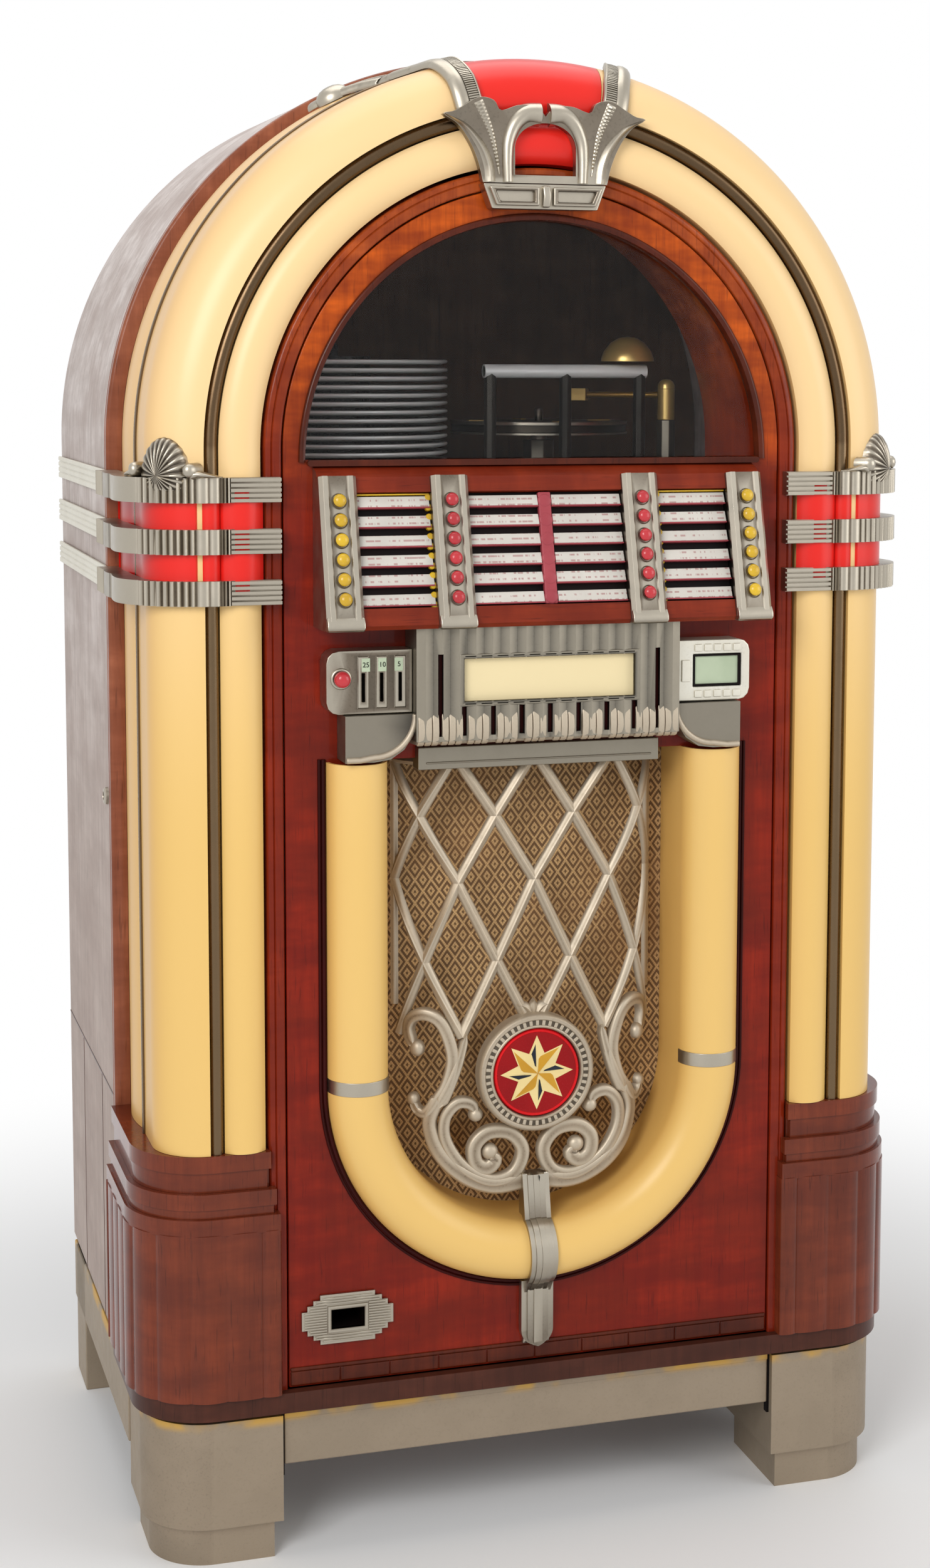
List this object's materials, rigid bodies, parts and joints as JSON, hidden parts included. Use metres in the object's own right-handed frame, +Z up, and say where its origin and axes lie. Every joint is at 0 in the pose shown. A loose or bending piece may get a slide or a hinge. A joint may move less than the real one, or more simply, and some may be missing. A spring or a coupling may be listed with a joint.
{
  "type": "jukebox",
  "caption": "Arch-topped floor jukebox with lit plastic pilasters, nickel castings, a lattice grille, press buttons and hinged front and rear doors.",
  "frame": {"origin": "centre of the bounding box at the floor, under the feet", "axes": "+X to the right seen from the front, +Y towards the back, +Z up; the front door faces -Y"},
  "size_m": [0.826, 0.64, 1.511],
  "materials": {
    "mahogany": "glossy figured veneer with orange inlaid shading",
    "dark_wood": "dark red lacquer",
    "side_wood": "worn satin veneer",
    "cream_plastic": "lit translucent cream",
    "red_plastic": "lit translucent red",
    "nickel": "aged polished nickel plate",
    "dull_nickel": "matte worn nickel plate",
    "bronze": "dark bronze tube",
    "glass": "clear with reflections",
    "yellow_plastic": "worn yellow",
    "title_cards": "printed card in a cream frame",
    "cloth": "woven diamonds",
    "steel": "satin",
    "brass": "polished",
    "disc": "glossy black",
    "sign": "lit pale green panel"
  },
  "bodies": {
    "cabinet": {"cabinet_shell": "side_wood", "face_frame": "dark_wood", "corner_plastic_left": "cream_plastic", "corner_plastic_right": "cream_plastic", "inner_plastic_left": "cream_plastic", "inner_plastic_right": "cream_plastic", "bubble_tube_left": "bronze", "bubble_tube_right": "bronze", "band_set_left": "nickel", "band_set_right": "nickel", "pilaster_base_left": "mahogany", "pilaster_base_right": "mahogany", "front_foot_left": "dull_nickel", "front_foot_right": "dull_nickel", "base_rails": "dull_nickel", "keystone_casting": "nickel", "keystone_plastic": "red_plastic", "changer_frame": "steel", "record_stack": "disc"},
    "front_door": {"door_panel": "mahogany", "window_glass": "glass", "selector_housing": "nickel", "title_rack": "title_cards", "nameplate_casting": "steel", "nameplate_window": "cream_plastic", "coin_entry": "nickel", "selection_sign": "sign", "u_tube": "cream_plastic", "speaker_grille": "nickel", "medallion": "red_plastic", "coin_return_plate": "nickel", "speaker_board": "cloth"},
    "rear_door": {"rear_door": "side_wood"},
    "turntable": {"turntable": "steel"},
    "tone_arm": {"tone_arm": "brass"},
    "coin_return_button": {"coin_return_button": "red_plastic"},
    "selector_button_1_1": {"selector_button_1_1": "yellow_plastic"},
    "selector_button_1_2": {"selector_button_1_2": "yellow_plastic"},
    "selector_button_1_3": {"selector_button_1_3": "yellow_plastic"},
    "selector_button_1_4": {"selector_button_1_4": "yellow_plastic"},
    "selector_button_1_5": {"selector_button_1_5": "yellow_plastic"},
    "selector_button_1_6": {"selector_button_1_6": "yellow_plastic"},
    "selector_button_2_1": {"selector_button_2_1": "red_plastic"},
    "selector_button_2_2": {"selector_button_2_2": "red_plastic"},
    "selector_button_2_3": {"selector_button_2_3": "red_plastic"},
    "selector_button_2_4": {"selector_button_2_4": "red_plastic"},
    "selector_button_2_5": {"selector_button_2_5": "red_plastic"},
    "selector_button_2_6": {"selector_button_2_6": "red_plastic"},
    "selector_button_3_1": {"selector_button_3_1": "red_plastic"},
    "selector_button_3_2": {"selector_button_3_2": "red_plastic"},
    "selector_button_3_3": {"selector_button_3_3": "red_plastic"},
    "selector_button_3_4": {"selector_button_3_4": "red_plastic"},
    "selector_button_3_5": {"selector_button_3_5": "red_plastic"},
    "selector_button_3_6": {"selector_button_3_6": "red_plastic"},
    "selector_button_4_1": {"selector_button_4_1": "yellow_plastic"},
    "selector_button_4_2": {"selector_button_4_2": "yellow_plastic"},
    "selector_button_4_3": {"selector_button_4_3": "yellow_plastic"},
    "selector_button_4_4": {"selector_button_4_4": "yellow_plastic"},
    "selector_button_4_5": {"selector_button_4_5": "yellow_plastic"},
    "selector_button_4_6": {"selector_button_4_6": "yellow_plastic"}
  },
  "joints": [
    {"name": "front_door_swing", "type": "hinge", "parent": "cabinet", "child": "front_door", "pos_m": [0.257, -0.2563, 0.77], "axis": [0, 0, 1], "range_deg": [0, 90]},
    {"name": "rear_door_swing", "type": "hinge", "parent": "cabinet", "child": "rear_door", "pos_m": [-0.3832, 0.32, 0.8], "axis": [0, 0, 1], "range_deg": [0, 110]},
    {"name": "turntable_spin", "type": "hinge", "parent": "cabinet", "child": "turntable", "pos_m": [0.11, 0.0897, 1.125], "axis": [0, 0, 1], "continuous": true},
    {"name": "tone_arm_swing", "type": "hinge", "parent": "cabinet", "child": "tone_arm", "pos_m": [0.232, 0.0047, 1.15], "axis": [0, 0, 1], "range_deg": [-40, 30]},
    {"name": "coin_return_press", "type": "slide", "parent": "front_door", "child": "coin_return_button", "axis": [0, 1, 0], "range_m": [0, 0.005], "stiffness_N_per_m": 300},
    {"name": "select_1_1_press", "type": "slide", "parent": "front_door", "child": "selector_button_1_1", "axis": [0, 0.9689, -0.2474], "range_m": [0, 0.004], "stiffness_N_per_m": 300},
    {"name": "select_1_2_press", "type": "slide", "parent": "front_door", "child": "selector_button_1_2", "axis": [0, 0.9689, -0.2474], "range_m": [0, 0.004], "stiffness_N_per_m": 300},
    {"name": "select_1_3_press", "type": "slide", "parent": "front_door", "child": "selector_button_1_3", "axis": [0, 0.9689, -0.2474], "range_m": [0, 0.004], "stiffness_N_per_m": 300},
    {"name": "select_1_4_press", "type": "slide", "parent": "front_door", "child": "selector_button_1_4", "axis": [0, 0.9689, -0.2474], "range_m": [0, 0.004], "stiffness_N_per_m": 300},
    {"name": "select_1_5_press", "type": "slide", "parent": "front_door", "child": "selector_button_1_5", "axis": [0, 0.9689, -0.2474], "range_m": [0, 0.004], "stiffness_N_per_m": 300},
    {"name": "select_1_6_press", "type": "slide", "parent": "front_door", "child": "selector_button_1_6", "axis": [0, 0.9689, -0.2474], "range_m": [0, 0.004], "stiffness_N_per_m": 300},
    {"name": "select_2_1_press", "type": "slide", "parent": "front_door", "child": "selector_button_2_1", "axis": [0, 0.9689, -0.2474], "range_m": [0, 0.004], "stiffness_N_per_m": 300},
    {"name": "select_2_2_press", "type": "slide", "parent": "front_door", "child": "selector_button_2_2", "axis": [0, 0.9689, -0.2474], "range_m": [0, 0.004], "stiffness_N_per_m": 300},
    {"name": "select_2_3_press", "type": "slide", "parent": "front_door", "child": "selector_button_2_3", "axis": [0, 0.9689, -0.2474], "range_m": [0, 0.004], "stiffness_N_per_m": 300},
    {"name": "select_2_4_press", "type": "slide", "parent": "front_door", "child": "selector_button_2_4", "axis": [0, 0.9689, -0.2474], "range_m": [0, 0.004], "stiffness_N_per_m": 300},
    {"name": "select_2_5_press", "type": "slide", "parent": "front_door", "child": "selector_button_2_5", "axis": [0, 0.9689, -0.2474], "range_m": [0, 0.004], "stiffness_N_per_m": 300},
    {"name": "select_2_6_press", "type": "slide", "parent": "front_door", "child": "selector_button_2_6", "axis": [0, 0.9689, -0.2474], "range_m": [0, 0.004], "stiffness_N_per_m": 300},
    {"name": "select_3_1_press", "type": "slide", "parent": "front_door", "child": "selector_button_3_1", "axis": [0, 0.9689, -0.2474], "range_m": [0, 0.004], "stiffness_N_per_m": 300},
    {"name": "select_3_2_press", "type": "slide", "parent": "front_door", "child": "selector_button_3_2", "axis": [0, 0.9689, -0.2474], "range_m": [0, 0.004], "stiffness_N_per_m": 300},
    {"name": "select_3_3_press", "type": "slide", "parent": "front_door", "child": "selector_button_3_3", "axis": [0, 0.9689, -0.2474], "range_m": [0, 0.004], "stiffness_N_per_m": 300},
    {"name": "select_3_4_press", "type": "slide", "parent": "front_door", "child": "selector_button_3_4", "axis": [0, 0.9689, -0.2474], "range_m": [0, 0.004], "stiffness_N_per_m": 300},
    {"name": "select_3_5_press", "type": "slide", "parent": "front_door", "child": "selector_button_3_5", "axis": [0, 0.9689, -0.2474], "range_m": [0, 0.004], "stiffness_N_per_m": 300},
    {"name": "select_3_6_press", "type": "slide", "parent": "front_door", "child": "selector_button_3_6", "axis": [0, 0.9689, -0.2474], "range_m": [0, 0.004], "stiffness_N_per_m": 300},
    {"name": "select_4_1_press", "type": "slide", "parent": "front_door", "child": "selector_button_4_1", "axis": [0, 0.9689, -0.2474], "range_m": [0, 0.004], "stiffness_N_per_m": 300},
    {"name": "select_4_2_press", "type": "slide", "parent": "front_door", "child": "selector_button_4_2", "axis": [0, 0.9689, -0.2474], "range_m": [0, 0.004], "stiffness_N_per_m": 300},
    {"name": "select_4_3_press", "type": "slide", "parent": "front_door", "child": "selector_button_4_3", "axis": [0, 0.9689, -0.2474], "range_m": [0, 0.004], "stiffness_N_per_m": 300},
    {"name": "select_4_4_press", "type": "slide", "parent": "front_door", "child": "selector_button_4_4", "axis": [0, 0.9689, -0.2474], "range_m": [0, 0.004], "stiffness_N_per_m": 300},
    {"name": "select_4_5_press", "type": "slide", "parent": "front_door", "child": "selector_button_4_5", "axis": [0, 0.9689, -0.2474], "range_m": [0, 0.004], "stiffness_N_per_m": 300},
    {"name": "select_4_6_press", "type": "slide", "parent": "front_door", "child": "selector_button_4_6", "axis": [0, 0.9689, -0.2474], "range_m": [0, 0.004], "stiffness_N_per_m": 300}
  ]
}
